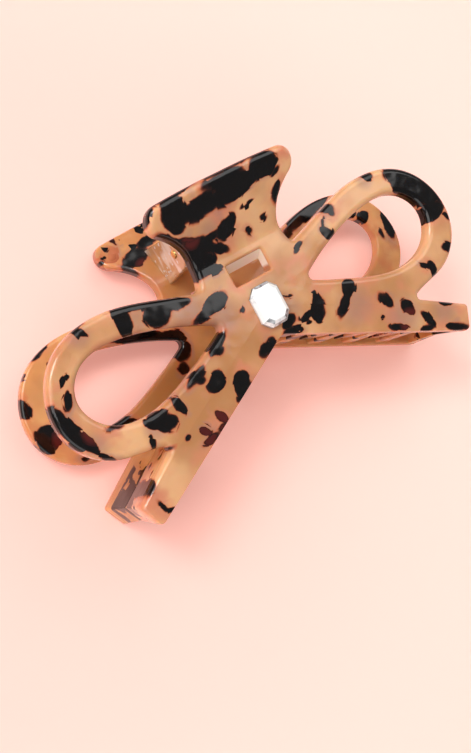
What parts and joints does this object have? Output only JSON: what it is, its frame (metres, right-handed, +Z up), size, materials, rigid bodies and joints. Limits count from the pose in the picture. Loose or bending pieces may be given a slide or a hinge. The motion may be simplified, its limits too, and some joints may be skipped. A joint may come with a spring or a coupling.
{
  "type": "claw clip",
  "caption": "Bow-shaped spring claw clip: two looped tortoiseshell halves with interleaved teeth, hinged on a pin with a torsion spring, a clear step-cut stone on the front.",
  "frame": {"origin": "centre of the bounding box at the surface the clip lies on, with the clip lying on its back half, closed", "axes": "+X along the hinge, the longest extent; +Y towards the handles; +Z up, out of the front half"},
  "size_m": [0.1128, 0.0649, 0.0431],
  "materials": {
    "tortoiseshell": "polished tortoiseshell acetate: honey base with near-black patches",
    "lug_acetate": "polished clear acetate, faintly amber",
    "pin_brass": "bright",
    "spring_steel": "bright drawn wire",
    "stone": "clear, step cut, polished, foiled back"
  },
  "bodies": {
    "back_half": {"back_jaw": "tortoiseshell", "back_lug_left": "lug_acetate", "back_lug_right": "lug_acetate", "hinge_pin": "pin_brass", "torsion_spring": "spring_steel"},
    "front_half": {"front_jaw": "tortoiseshell", "front_lug_left": "lug_acetate", "front_lug_right": "lug_acetate", "crystal": "stone"}
  },
  "joints": [
    {"name": "hinge", "type": "hinge", "parent": "back_half", "child": "front_half", "pos_m": [0, 0.01849, 0.02043], "axis": [-1, 0, 0], "range_deg": [0, 75], "stiffness_Nm_per_rad": 0.17, "springref_deg": -40.11, "deforming": ["torsion_spring"]}
  ]
}
